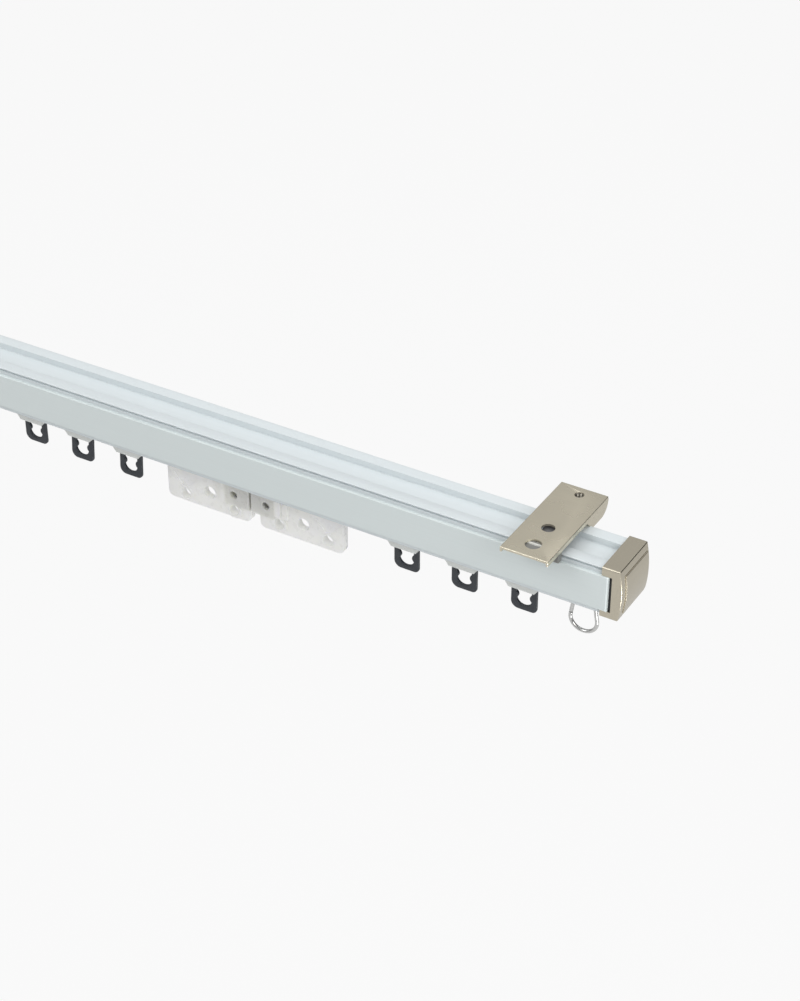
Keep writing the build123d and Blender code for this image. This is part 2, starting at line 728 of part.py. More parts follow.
os.makedirs("parts", exist_ok=True)
save("rail", rail())
save("front_panel", front_panel())
end_pieces = [("end_cover", end_cover()), ("end_stop", end_stop())]
end_pieces += [("stop_screw", stop_screw()), ("end_ring", end_ring())]
for node, piece in end_pieces:
    save(node + "_right", piece)
    save(node + "_left", mirror(piece, about=Plane.YZ))
plate = bracket_plate()
lever = release_lever()
magnet = carrier_magnet()
glide = carrier_glide()
for side, name in ((1, "right"), (-1, "left")):
    save("bracket_" + name, Pos(side * bracket_x, 0, 0) * plate)
    save("release_lever_" + name, Pos(side * bracket_x, 0, 0) * lever)
    pieces = [("carrier", carrier_plate(side)), ("carrier_magnet", magnet)]
    pieces.append(("carrier_inner_glide", Pos(inner_glide_place, 0, 0) * glide))
    pieces.append(("carrier_outer_glide", Pos(hole_places(side)[2], 0, 0) * glide))
    for node, piece in pieces:
        turned = piece if side > 0 else mirror(piece, about=Plane.YZ)
        save(node + "_" + name, Pos(meeting_offset, 0, 0) * turned)
body = runner_body()
ring = runner_ring()
right_places, left_places = runner_places()
for index in range(3):
    save("runner_right_" + str(index + 1), Pos(right_places[index], 0, 0) * body)
    save("ring_right_" + str(index + 1), Pos(right_places[index], 0, 0) * ring)
    save("runner_left_" + str(index + 1), Pos(left_places[index], 0, 0) * body)
    save("ring_left_" + str(index + 1), Pos(left_places[index], 0, 0) * swung(ring, left_ring_swings[index]))
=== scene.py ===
import math

import bmesh
import bpy
import numpy as np
from mathutils import Euler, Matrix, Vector


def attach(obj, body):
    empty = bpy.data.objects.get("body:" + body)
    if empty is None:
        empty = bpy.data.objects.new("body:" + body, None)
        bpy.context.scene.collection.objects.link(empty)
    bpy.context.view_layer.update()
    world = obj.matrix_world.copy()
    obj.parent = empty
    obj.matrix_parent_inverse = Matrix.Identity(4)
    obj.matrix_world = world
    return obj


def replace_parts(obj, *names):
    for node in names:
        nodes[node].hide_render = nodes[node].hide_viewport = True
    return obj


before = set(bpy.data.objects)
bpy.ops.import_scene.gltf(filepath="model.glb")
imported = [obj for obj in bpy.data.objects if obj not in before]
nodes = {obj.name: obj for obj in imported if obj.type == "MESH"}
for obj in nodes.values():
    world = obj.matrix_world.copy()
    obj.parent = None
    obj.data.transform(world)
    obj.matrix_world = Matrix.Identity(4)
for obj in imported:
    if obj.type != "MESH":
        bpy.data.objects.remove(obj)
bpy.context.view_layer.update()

# Camera
# A long lens looks down on the track from its right end, as in the photograph.
# It shows the right cover, one bracket and the runners, and cuts the left end off.
camera_place = (0.51124, -0.69963, 0.54062)
camera_azimuth = math.radians(30.57)
camera_elevation = math.radians(34.18)
camera_lens = 79.75
camera_film = 36.0
camera_reach = 20.0
camera_data = bpy.data.cameras.new("camera")
camera_data.lens = camera_lens
camera_data.sensor_width = camera_film
camera_data.clip_end = camera_reach
camera = bpy.data.objects.new("camera", camera_data)
camera.location = camera_place
camera.rotation_euler = Euler((math.pi / 2 - camera_elevation, 0, camera_azimuth), "XYZ")
bpy.context.scene.collection.objects.link(camera)
bpy.context.scene.camera = camera


# Rail
# An aluminium extrusion with a shallow channel on top and the runners' slot below.
# It is powder coated white, so its faces show fine lengthwise die lines under the paint.
mm = 0.001
rail_white = (0.69, 0.743, 0.762)
# The rail's lowest 0.3 mm is darkened as painted shade along its lower edge, and its last 0.7 mm
# at each sawn end is brighter.
foot_shade_band = (-29.6 * mm, -29.1 * mm)
foot_shade_share = 0.75
sawn_share = 1.3
sawn_from = 203.8 * mm
rail_ease = 0.25 * mm
# Beyond every piece, for a zone that is open on one side.
far_off = 1.0
noise_low, noise_high = 0.3, 0.7
paint_drift = (0.992, 1.006)
gloss_drift = (-0.05, 0.06)
weld_distance = 2e-6
flat_angle = math.radians(0.5)
smooth_angle = math.radians(30)
edge_angle = math.radians(35)


def new_finish(name):
    """An empty material, with its node tree and its surface shader."""
    material = bpy.data.materials.new(name)
    material.use_nodes = True
    tree = material.node_tree
    return material, tree, tree.nodes["Principled BSDF"]


def speckle(tree, stretch, scale, detail=3.0):
    """Noise over the piece, drawn out along the axes whose stretch is small."""
    place = tree.nodes.new("ShaderNodeTexCoord")
    mapping = tree.nodes.new("ShaderNodeMapping")
    mapping.inputs["Scale"].default_value = stretch
    noise = tree.nodes.new("ShaderNodeTexNoise")
    noise.inputs["Scale"].default_value = scale
    noise.inputs["Detail"].default_value = detail
    tree.links.new(place.outputs["Object"], mapping.inputs["Vector"])
    tree.links.new(mapping.outputs["Vector"], noise.inputs["Vector"])
    return noise.outputs["Fac"]


def shade(colour, share):
    """A colour made darker or lighter by a share."""
    return tuple(min(1.0, c * share) for c in colour)


def tint(tree, shader, pattern, colour, drift):
    """Lets the colour wander between the two shares in drift, by a pattern."""
    ramp = tree.nodes.new("ShaderNodeValToRGB")
    for stop, place, share in zip(ramp.color_ramp.elements, (noise_low, noise_high), drift):
        stop.position = place
        stop.color = (*shade(colour, share), 1)
    tree.links.new(pattern, ramp.inputs["Fac"])
    tree.links.new(ramp.outputs["Color"], shader.inputs["Base Color"])


def vary_roughness(tree, shader, pattern, roughness, drift):
    """Lets the roughness wander by the two steps in drift, by a pattern."""
    spread = tree.nodes.new("ShaderNodeMapRange")
    spread.inputs["From Min"].default_value = noise_low
    spread.inputs["From Max"].default_value = noise_high
    spread.inputs["To Min"].default_value = roughness + drift[0]
    spread.inputs["To Max"].default_value = roughness + drift[1]
    tree.links.new(pattern, spread.inputs["Value"])
    tree.links.new(spread.outputs["Result"], shader.inputs["Roughness"])


def relief(tree, shader, pattern, height):
    """Raises the surface by a pattern, to a height in metres."""
    bump = tree.nodes.new("ShaderNodeBump")
    bump.inputs["Strength"].default_value = 1.0
    bump.inputs["Distance"].default_value = height
    tree.links.new(pattern, bump.inputs["Height"])
    tree.links.new(bump.outputs["Normal"], shader.inputs["Normal"])


def arithmetic(tree, operation, first, second=0.0):
    """One step of arithmetic between sockets or plain numbers."""
    step = tree.nodes.new("ShaderNodeMath")
    step.operation = operation
    for index, value in enumerate((first, second)):
        if isinstance(value, float):
            step.inputs[index].default_value = value
        else:
            tree.links.new(value, step.inputs[index])
    return step.outputs["Value"]


def place_on(tree):
    """The piece's own X, Y and Z, in metres."""
    place = tree.nodes.new("ShaderNodeTexCoord")
    parts = tree.nodes.new("ShaderNodeSeparateXYZ")
    tree.links.new(place.outputs["Object"], parts.inputs["Vector"])
    return parts.outputs["X"], parts.outputs["Y"], parts.outputs["Z"]


def between(tree, value, low, high, blur=0.05 * mm):
    """1 where low < value < high, with smooth flanks as wide as blur."""
    flanks = []
    rise, fall = (low - blur, low, 0.0, 1.0), (high, high + blur, 1.0, 0.0)
    for start, end, before, after in (rise, fall):
        flank = tree.nodes.new("ShaderNodeMapRange")
        flank.interpolation_type = "SMOOTHSTEP"
        flank.inputs["From Min"].default_value = start
        flank.inputs["From Max"].default_value = end
        flank.inputs["To Min"].default_value = before
        flank.inputs["To Max"].default_value = after
        tree.links.new(value, flank.inputs["Value"])
        flanks.append(flank.outputs["Result"])
    return arithmetic(tree, "MULTIPLY", *flanks)


def recolour(tree, shader, zone, share):
    """Multiplies the colour by 1 + (share - 1) zone."""
    colour = shader.inputs["Base Color"].links[0].from_socket
    scale = tree.nodes.new("ShaderNodeVectorMath")
    scale.operation = "SCALE"
    tree.links.new(colour, scale.inputs[0])
    factor = arithmetic(tree, "ADD", arithmetic(tree, "MULTIPLY", zone, share - 1.0), 1.0)
    tree.links.new(factor, scale.inputs["Scale"])
    tree.links.new(scale.outputs["Vector"], shader.inputs["Base Color"])


def coat(mesh, material):
    """Leaves one material on a mesh."""
    mesh.materials.clear()
    mesh.materials.append(material)


def dress(node, material):
    """Gives a piece of the frame its finish."""
    coat(nodes[node].data, material)


def smooth(mesh):
    """Shades every face of a mesh as part of a smooth surface."""
    mesh.polygons.foreach_set("use_smooth", np.ones(len(mesh.polygons), dtype=bool))


def tidy_shell(mesh):
    """Welds doubled points, closes poles and turns every face outwards."""
    shell = bmesh.new()
    shell.from_mesh(mesh)
    bmesh.ops.remove_doubles(shell, verts=shell.verts, dist=weld_distance)
    bmesh.ops.recalc_face_normals(shell, faces=shell.faces)
    shell.to_mesh(mesh)
    shell.free()


def eased(node, body, material, width, pared=()):
    """A welded copy of a CAD piece whose sharp edges are eased by a small round.

    It may first be pared along planes, each a point and the direction that is cut away."""
    mesh = nodes[node].data.copy()
    tidy_shell(mesh)
    shell = bmesh.new()
    shell.from_mesh(mesh)
    for point, away in pared:
        whole = shell.verts[:] + shell.edges[:] + shell.faces[:]
        cut = bmesh.ops.bisect_plane(shell, geom=whole, plane_co=point, plane_no=away,
                                     clear_outer=True)
        rim = [edge for edge in cut["geom_cut"] if isinstance(edge, bmesh.types.BMEdge)]
        bmesh.ops.holes_fill(shell, edges=rim, sides=0)
    bmesh.ops.dissolve_limit(shell, angle_limit=flat_angle, verts=shell.verts, edges=shell.edges)
    bmesh.ops.recalc_face_normals(shell, faces=shell.faces)
    shell.to_mesh(mesh)
    shell.free()
    coat(mesh, material)
    smooth(mesh)
    mesh.set_sharp_from_angle(angle=smooth_angle)
    piece = bpy.data.objects.new("eased_" + node, mesh)
    bpy.context.scene.collection.objects.link(piece)
    round_over = piece.modifiers.new("round_over", "BEVEL")
    round_over.width = width
    round_over.segments = 2
    round_over.limit_method = "ANGLE"
    round_over.angle_limit = edge_angle
    round_over.harden_normals = True
    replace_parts(piece, node)
    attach(piece, body)


def painted_aluminium(name, colour, roughness):
    """Powder coat over an extrusion: faint die lines, a very fine orange peel, bare sawn ends."""
    material, tree, shader = new_finish(name)
    die_lines = speckle(tree, stretch=(1.2, 220.0, 220.0), scale=6.0, detail=2.0)
    tint(tree, shader, die_lines, colour, paint_drift)
    off_middle = arithmetic(tree, "ABSOLUTE", place_on(tree)[0])
    recolour(tree, shader, between(tree, off_middle, sawn_from, far_off), sawn_share)
    streaks = speckle(tree, stretch=(14.0, 90.0, 90.0), scale=3.0)
    vary_roughness(tree, shader, streaks, roughness, gloss_drift)
    peel = speckle(tree, stretch=(900.0, 900.0, 900.0), scale=1.4, detail=2.0)
    relief(tree, shader, peel, height=3e-6)
    shader.inputs["Specular IOR Level"].default_value = 0.45
    shader.inputs["Coat Weight"].default_value = 0.15
    shader.inputs["Coat Roughness"].default_value = 0.2
    return material


rail_finish = painted_aluminium("rail_paint", rail_white, roughness=0.36)
rail_tree = rail_finish.node_tree
# Painted shade: a thin band along the rail's lower edge is darkened.
rail_foot_shade = between(rail_tree, place_on(rail_tree)[2], *foot_shade_band)
recolour(rail_tree, rail_tree.nodes["Principled BSDF"], rail_foot_shade, foot_shade_share)
eased("rail", "track", rail_finish, rail_ease)


# Front panel
# A thin aluminium strip, held in the rail's front grooves by two snap ribs.
# It is powder coated in a pale, cool grey with a satin gloss.
panel_grey = (0.72, 0.784, 0.784)
dress("front_panel", painted_aluminium("panel_paint", panel_grey, roughness=0.42))


# End covers
# Moulded caps with a champagne nickel finish, bowed outwards at the end.
# A raised field on the end face catches a thin light along its front edge.
champagne = (0.62, 0.57, 0.46)
colour_drift = (0.97, 1.03)


def satin_nickel(name, colour, roughness, grain, brush_height=6e-6):
    """Satin nickel: short brush lines, long where grain is small, and soft broad clouds."""
    material, tree, shader = new_finish(name)
    brush = speckle(tree, grain, scale=8.0, detail=4.0)
    tint(tree, shader, brush, colour, colour_drift)
    clouds = speckle(tree, stretch=(60.0, 60.0, 60.0), scale=1.0)
    vary_roughness(tree, shader, clouds, roughness, gloss_drift)
    relief(tree, shader, brush, brush_height)
    shader.inputs["Metallic"].default_value = 0.9
    return material


cover_finish = satin_nickel("cover_nickel", champagne, roughness=0.17,
                            grain=(160.0, 160.0, 160.0), brush_height=8e-7)
for side in ("left", "right"):
    dress("end_cover_" + side, cover_finish)


# End stops and their screws
# A black nylon plug fills each cover and reaches into the rail with its tongue.
# A zinc-plated pan-head screw from below clamps it to the rail.
nylon_black = (0.018, 0.018, 0.02)
zinc = (0.60, 0.60, 0.61)
plastic_gloss_drift = (-0.06, 0.06)
fine_grain = (300.0, 300.0, 300.0)


def moulded_plastic(name, colour, roughness, graininess):
    """Injection-moulded plastic: slight colour drift and a fine spark texture."""
    material, tree, shader = new_finish(name)
    clouds = speckle(tree, stretch=(120.0, 120.0, 120.0), scale=1.0)
    tint(tree, shader, clouds, colour, colour_drift)
    flecks = speckle(tree, stretch=(400.0, 400.0, 400.0), scale=1.0)
    vary_roughness(tree, shader, flecks, roughness, plastic_gloss_drift)
    sparks = speckle(tree, stretch=(1800.0, 1800.0, 1800.0), scale=1.0, detail=2.0)
    relief(tree, shader, sparks, graininess)
    return material


stop_finish = moulded_plastic("stop_nylon", nylon_black, roughness=0.5, graininess=1e-5)
screw_finish = satin_nickel("screw_zinc", zinc, roughness=0.3, grain=fine_grain)
for side in ("left", "right"):
    dress("end_stop_" + side, stop_finish)
    dress("stop_screw_" + side, screw_finish)


# End rings
# A loop of bright nickel-plated wire swings in each stop's eye.
# It is bent from one length, and its two ends meet in a butt joint in one leg.
slot_y = 5.4 * mm
wire_radius = 0.9 * mm
lug_x = 187.9 * mm
eye_z = -32.65 * mm
loop_height = 19.3 * mm
loop_top_half = 4.4 * mm
loop_foot_half = 7.6 * mm
loop_bends = np.array([2.0, 2.0, 6.2, 6.2]) * mm
butt_height = 8.1 * mm
butt_gap = 0.4 * mm
bend_steps = 24
dome_share = 0.25
dome_close = 0.999
wire_bright = (0.68, 0.68, 0.67)


def grid_faces(rows, columns, first, rows_close):
    """Quads (r, c), (r, c+1), (r+1, c+1), (r+1, c) over a grid whose columns run round."""
    r = np.arange(rows if rows_close else rows - 1)[:, None]
    c = np.arange(columns)[None, :]
    here = r * columns
    there = ((r + 1) % rows) * columns
    after = (c + 1) % columns
    quads = np.stack([here + c, here + after, there + after, there + c], axis=-1)
    return first + quads.reshape(-1, 4)


def lay_part(name, grids, material, body):
    """Joins point grids (rows, columns, 3) into one smooth mesh that rides on a body."""
    points, faces, first = [], [], 0
    for grid, rows_close in grids:
        rows, columns = grid.shape[:2]
        points.append(grid.reshape(-1, 3))
        faces.append(grid_faces(rows, columns, first, rows_close))
        first += rows * columns
    mesh = bpy.data.meshes.new(name)
    mesh.from_pydata(np.concatenate(points).tolist(), [], np.concatenate(faces).tolist())
    tidy_shell(mesh)
    smooth(mesh)
    coat(mesh, material)
    piece = bpy.data.objects.new(name, mesh)
    bpy.context.scene.collection.objects.link(piece)
    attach(piece, body)
    return piece


def lay_piece(name, grids, material, node):
    """A laid part that stands for a CAD node and rides on the body of the same name."""
    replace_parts(lay_part(name, grids, material, node), node)


def rounded_route(corners, radii, steps):
    """Each corner becomes the arc c + r(a sin t - n cos t), t from 0 to its turn.

    a is the incoming direction, n points to the arc's centre c, which lies r tan(turn / 2)
    before the corner along a and r to the side along n."""
    leg = np.diff(corners, axis=0)
    leg = leg / np.linalg.norm(leg, axis=1, keepdims=True)
    incoming, outgoing = leg[:-1], leg[1:]
    turn = np.arccos(np.clip(np.sum(incoming * outgoing, axis=1), -1, 1))[:, None]
    hand = np.sign(incoming[:, 0] * outgoing[:, 1] - incoming[:, 1] * outgoing[:, 0])[:, None]
    side = np.stack([-incoming[:, 1], incoming[:, 0]], axis=1) * hand
    reach = radii[:, None]
    centre = corners[1:-1] - incoming * reach * np.tan(turn / 2) + side * reach
    t = turn * np.linspace(0, 1, steps)[None, :]
    arc = np.sin(t)[..., None] * incoming[:, None] - np.cos(t)[..., None] * side[:, None]
    arcs = centre[:, None] + reach[:, :, None] * arc
    return np.concatenate([corners[:1], arcs.reshape(-1, 2), corners[-1:]])


def bent_wire(route, radius, around=24, ends=5):
    """A tube p(s) + R(cos v n + sin v Y) along a route in X and Z, with domed ends.

    At each end R falls as radius sqrt(1 - k^2) while k goes from 0 to almost 1."""
    along = np.gradient(route, axis=0)
    along = along / np.linalg.norm(along, axis=1, keepdims=True)
    k = np.linspace(0, dome_close, ends)
    dome = np.sqrt(1 - k ** 2)
    inset = dome_share * radius * (1 - k[::-1])
    start = route[0] + along[0] * inset[:, None]
    stop = route[-1] - along[-1] * inset[::-1, None]
    middle = np.concatenate([start, route[1:-1], stop])
    heading = np.concatenate(
        [np.repeat(along[:1], ends, 0), along[1:-1], np.repeat(along[-1:], ends, 0)])
    reach = radius * np.concatenate([dome[::-1], np.ones(len(route) - 2), dome])
    v = np.linspace(0, 2 * np.pi, around, endpoint=False)
    x = middle[:, :1] - heading[:, 1:] * reach[:, None] * np.cos(v)
    z = middle[:, 1:] + heading[:, :1] * reach[:, None] * np.cos(v)
    y = slot_y + reach[:, None] * np.sin(v)
    return np.stack([x, y, z], axis=-1)


joint_half = loop_foot_half + (loop_top_half - loop_foot_half) * butt_height / loop_height
foot_z = eye_z - loop_height
joint_z = foot_z + butt_height
loop_corners = np.array([
    (-joint_half, joint_z + butt_gap / 2), (-loop_top_half, eye_z), (loop_top_half, eye_z),
    (loop_foot_half, foot_z), (-loop_foot_half, foot_z), (-joint_half, joint_z - butt_gap / 2)])
loop = bent_wire(rounded_route(loop_corners, loop_bends, bend_steps), wire_radius)
ring_wire = satin_nickel("wire_nickel", wire_bright, roughness=0.15,
                         grain=(60.0, 60.0, 60.0), brush_height=0.0)
for side, sign in (("left", -1), ("right", 1)):
    placed = loop * (sign, 1, 1) + (sign * lug_x, 0, 0)
    lay_piece("wire_loop_" + side, [(placed, False)], ring_wire, "end_ring_" + side)


# Brackets
# Pressed steel plates, brushed across and nickel plated in champagne. Fixed hooks
# behind and a sliding plastic lever with claws in front hold the rail; a painted highlight
# runs as a pale stripe across the lever's front. A spring leaf lies under the lever, its dark
# grey painted shade under the plate, and the rear collar is threaded for a screw, its nickel
# darkened as painted shade inside the collar.
lever_grey = (0.21, 0.21, 0.20)
plate_champagne = (0.74, 0.685, 0.55)
spring_shade_grey = (0.17, 0.17, 0.175)
thread_shade_tone = (0.30, 0.28, 0.24)
bracket_x = 171.4 * mm
lever_highlight_y = (-12.4 * mm, -11.4 * mm)
lever_highlight_share = 3.2
bracket_ease = 0.07 * mm
lever_ease = 0.15 * mm
plate_grain = (12.0, 300.0, 300.0)
thread_y = 29.3 * mm
thread_top = -0.15 * mm
thread_low = -3.9 * mm
thread_radii = (1.72 * mm, 2.0 * mm, 2.18 * mm)
thread_pitch = 0.8 * mm
leaf_half = 3.6 * mm
leaf_reach = (-9.0 * mm, 9.6 * mm)
leaf_top = -2.0 * mm
leaf_thickness = 0.4 * mm
leaf_sag = 0.5 * mm
leaf_squareness = 8.0
leaf_taper = 12.0
bracket_finish = satin_nickel("bracket_nickel", plate_champagne, roughness=0.26,
                              grain=plate_grain, brush_height=1.5e-6)
lever_finish = moulded_plastic("lever_acetal", lever_grey, roughness=0.4, graininess=8e-6)
lever_tree = lever_finish.node_tree
# Painted highlight: a pale stripe across the lever's front, under the plate's front hole.
lever_highlight = between(lever_tree, place_on(lever_tree)[1], *lever_highlight_y)
recolour(lever_tree, lever_tree.nodes["Principled BSDF"], lever_highlight, lever_highlight_share)
# Painted shade: the leaf's dark grey stands in for the shade under the plate.
spring_shade_finish = moulded_plastic("spring_painted_shade", spring_shade_grey, roughness=0.45, graininess=4e-6)
# Painted shade: the thread's nickel is darkened for the shade inside the collar.
thread_finish = satin_nickel("thread_nickel", thread_shade_tone, roughness=0.16,
                             grain=plate_grain, brush_height=0.0)


def threaded_sleeve(around=48, turns=40):
    """The thread in the collar: r = m - h cos(2 pi z / pitch + v), with a plain wall behind."""
    v = np.linspace(0, 2 * np.pi, around, endpoint=False)
    z = np.linspace(thread_top, thread_low, turns)[:, None]
    crest, root, back = thread_radii
    inner = (crest + root) / 2 - (root - crest) / 2 * np.cos(2 * np.pi * z / thread_pitch + v)
    outer = np.full_like(inner, back)
    r, z = np.concatenate([inner, outer]), np.concatenate([z, z[::-1]])
    x, y = r * np.cos(v), thread_y + r * np.sin(v)
    return np.stack([x, y, np.broadcast_to(z, r.shape)], axis=-1)


def squared_round(count, squareness, turn=0.0):
    """A round section squared by n: (sign(cos v)|cos v|^(2/n), sign(sin v)|sin v|^(2/n))."""
    v = np.linspace(0, 2 * np.pi, count, endpoint=False) + turn
    c = np.sign(np.cos(v)) * np.abs(np.cos(v)) ** (2 / squareness)
    s = np.sign(np.sin(v)) * np.abs(np.sin(v)) ** (2 / squareness)
    return c, s


def leaf_spring(around=24, steps=28):
    """A leaf under the lever's slot that sags by s(1 - t^2), with t from -1 to 1 along it.

    Its half width is w sqrt(min(1, taper (1 - |t|))), which rounds its two ends."""
    t = np.linspace(-1, 1, steps)[:, None]
    c, s = squared_round(around, leaf_squareness)
    half = leaf_half * np.sqrt(np.clip((1 - np.abs(t)) * leaf_taper, 0, 1))
    start, end = leaf_reach
    y = np.broadcast_to((start + end) / 2 + (end - start) / 2 * t, (steps, around))
    middle = leaf_top - leaf_thickness / 2 - leaf_sag * (1 - t ** 2)
    return np.stack([half * c, y, middle + leaf_thickness / 2 * s], axis=-1)


for side, sign in (("left", -1), ("right", 1)):
    lever = "release_lever_" + side
    eased("bracket_" + side, "track", bracket_finish, bracket_ease)
    eased(lever, lever, lever_finish, lever_ease)
    shift = (sign * bracket_x, 0, 0)
    thread = [(threaded_sleeve() + shift, True)]
    leaf = [(leaf_spring() + shift, False)]
    lay_part("collar_thread_" + side, thread, thread_finish, "track")
    lay_part("lever_spring_" + side, leaf, spring_shade_finish, lever)


# Runners
# White acetal glides that run in the slot, each with a dark ring that swings on
# two pins and takes the curtain hook.
runner_white = (0.78, 0.80, 0.78)
ring_dark = (0.035, 0.04, 0.048)
pin_z = -35.95 * mm
pin_radius = 0.76 * mm
pin_start = 5.9 * mm
pin_end = 7.9 * mm
pin_chamfer = 0.1 * mm
pin_tip_share = 0.88
ring_half_thickness = 0.9 * mm
ring_half = np.array([6.45, 8.75]) * mm
ring_middle_z = -42.9 * mm
ring_corners = np.array([3.6, 2.2, 0.5]) * mm
ring_squareness = 5.0
opening_half = 3.8 * mm
opening_low = -45.45 * mm
opening_high = -40.55 * mm
nub_place = np.array([4.7, -44.35]) * mm
nub_radius = 1.9 * mm
ray_z = -44.3 * mm
ray_length = 16 * mm
halvings = 30
body_half = 8.6 * mm
body_foot = -38.95 * mm
pare_back = 2.2 * mm
pare_up = 3.0 * mm
runner_ease = 0.25 * mm
# Each runner's place along the rail in millimetres, and its ring's swing in degrees.
runners = {
    "runner_left_1": (-55.1, -4.0), "runner_left_2": (-84.1, -5.0),
    "runner_left_3": (-113.3, 0.0), "runner_right_1": (98.55, 0.0),
    "runner_right_2": (128.45, 0.0), "runner_right_3": (158.7, 0.0)}


def outside_ring(x, z):
    """Distance outside a rectangle with rounded corners: |max(q, 0)| + min(max(qx, qz), 0) - r.

    The corners' radii r are those of the low left, the low right and the two top ones."""
    z = z - ring_middle_z
    low_left, low_right, top = ring_corners
    radius = np.where(z > 0, top, np.where(x < 0, low_left, low_right))
    qx = np.abs(x) - ring_half[0] + radius
    qz = np.abs(z) - ring_half[1] + radius
    inside = np.minimum(np.maximum(qx, qz), 0)
    return np.hypot(np.maximum(qx, 0), np.maximum(qz, 0)) + inside - radius


def outside_opening(x, z):
    """Distance outside a slot with round ends, less the two nubs that stand into it."""
    slot = np.hypot(x, z - np.clip(z, opening_low, opening_high)) - opening_half
    nub = nub_radius - np.hypot(np.abs(x) - nub_place[0], z - nub_place[1])
    return np.maximum(slot, nub)


def reach_to(outside, dx, dz):
    """The r at which each ray (r dx, ray_z + r dz) leaves a shape, by repeated halving."""
    near, far = np.zeros_like(dx), np.full_like(dx, ray_length)
    for _ in range(halvings):
        half = (near + far) / 2
        out = outside(half * dx, ray_z + half * dz) > 0
        near, far = np.where(out, near, half), np.where(out, half, far)
    return (near + far) / 2


def hook_ring(around=208, section=28):
    """The band between the opening and the outline, with a squared round section (c, s).

    On each ray: r = (R + S)/2 + (R - S)/2 c and y = T s, with R and S the two reaches."""
    u = np.linspace(0, 2 * np.pi, around, endpoint=False)
    dx, dz = np.cos(u), np.sin(u)
    outer, inner = reach_to(outside_ring, dx, dz), reach_to(outside_opening, dx, dz)
    c, s = squared_round(section, ring_squareness, np.pi / section)
    r = ((outer + inner) / 2)[:, None] + ((outer - inner) / 2)[:, None] * c
    y = np.broadcast_to(slot_y + ring_half_thickness * s, r.shape)
    return np.stack([r * dx[:, None], y, ray_z + r * dz[:, None]], axis=-1)


def pivot_pin(sign, around=24):
    """A pin along X, closed at its end: (x, R cos v, R sin v) with R falling to 0."""
    x = sign * np.array([pin_start, pin_end - pin_chamfer, pin_end, pin_end])[:, None]
    reach = pin_radius * np.array([1.0, 1.0, pin_tip_share, 0.0])[:, None]
    v = sign * np.linspace(0, 2 * np.pi, around, endpoint=False)
    x, y, z = np.broadcast_arrays(x, slot_y + reach * np.cos(v), pin_z + reach * np.sin(v))
    return np.stack([x, y, z], axis=-1)


def swung(points, degrees):
    """Turns points about the pins: y' = y cos t - z sin t, z' = y sin t + z cos t."""
    t = math.radians(degrees)
    y, z = points[..., 1] - slot_y, points[..., 2] - pin_z
    return np.stack([points[..., 0], slot_y + y * math.cos(t) - z * math.sin(t),
                     pin_z + y * math.sin(t) + z * math.cos(t)], axis=-1)


runner_finish = moulded_plastic("runner_acetal", runner_white, roughness=0.4, graininess=8e-6)
ring_finish = moulded_plastic("ring_nylon", ring_dark, roughness=0.38, graininess=1e-5)
ring_grids = [(hook_ring(), True), (pivot_pin(-1), False), (pivot_pin(1), False)]
for runner, (place, swing) in runners.items():
    pared = [((place * mm + sign * body_half, 0, body_foot + pare_up),
              (sign * pare_up, 0, -pare_back)) for sign in (-1, 1)]
    eased(runner, runner, runner_finish, runner_ease, pared)
    ring_node = runner.replace("runner", "ring")
    placed = [(swung(grid, swing) + (place * mm, 0, 0), close) for grid, close in ring_grids]
    lay_piece("hook_" + ring_node, placed, ring_finish, ring_node)


# Magnet carriers
# Milky plates that take the curtains' leading edges, with a flat magnet in each
# meeting end. Their glides plug in from above.
carrier_milk = (0.925, 0.925, 0.875)
magnet_nickel = (0.45, 0.45, 0.45)
carrier_ease = 0.2 * mm
milk_radius = (1.0, 1.0, 0.9)
milk_depth = 6 * mm
meeting_x = 14.6 * mm
shadow_share = 0.77
shadow_half = 12.5 * mm
shadow_foot = -46.5 * mm
shadow_blur_x, shadow_blur_z = 3 * mm, 2.5 * mm
funnel_glow_share = 1.05
funnels = ((-22.5 * mm, -48.3 * mm), (57.3 * mm, -47.4 * mm))
boss_share = 1.05
boss_x = 30.6 * mm
boss_half = 2.3 * mm
boss_foot = -46.2 * mm


def away_from(tree, value, place):
    """The distance |value - place|."""
    return arithmetic(tree, "ABSOLUTE", arithmetic(tree, "SUBTRACT", value, place))


def carrier_marks(material):
    """Painted light and shade seen through the milk: the magnets' painted shadow, a painted glow
    where the funnels are thinner, and a lighter zone over a glide's boss.

    A funnel stands on its tip (x0, z0), where z - z0 > |x - x0|."""
    tree = material.node_tree
    shader = tree.nodes["Principled BSDF"]
    x, _, z = place_on(tree)
    across = between(tree, away_from(tree, x, meeting_x), -far_off, shadow_half, shadow_blur_x)
    upright = between(tree, z, shadow_foot, 0.0, shadow_blur_z)
    recolour(tree, shader, arithmetic(tree, "MULTIPLY", across, upright), shadow_share)
    # Painted glow: the milk is lighter over each funnel, where the plastic is thinner.
    for tip_x, tip_z in funnels:
        beside = away_from(tree, x, tip_x)
        above = arithmetic(tree, "SUBTRACT", arithmetic(tree, "SUBTRACT", z, tip_z), beside)
        recolour(tree, shader, between(tree, above, 0.0, far_off), funnel_glow_share)
    across = between(tree, away_from(tree, x, boss_x), -far_off, boss_half)
    upright = between(tree, z, boss_foot, 0.0)
    recolour(tree, shader, arithmetic(tree, "MULTIPLY", across, upright), boss_share)


def milky_plastic(name, colour):
    """Unfilled plastic that scatters light inside, so that its edges and holes glow softly."""
    material = moulded_plastic(name, colour, roughness=0.3, graininess=4e-6)
    shader = material.node_tree.nodes["Principled BSDF"]
    shader.inputs["Subsurface Weight"].default_value = 1.0
    shader.inputs["Subsurface Radius"].default_value = milk_radius
    shader.inputs["Subsurface Scale"].default_value = milk_depth
    carrier_marks(material)
    return material


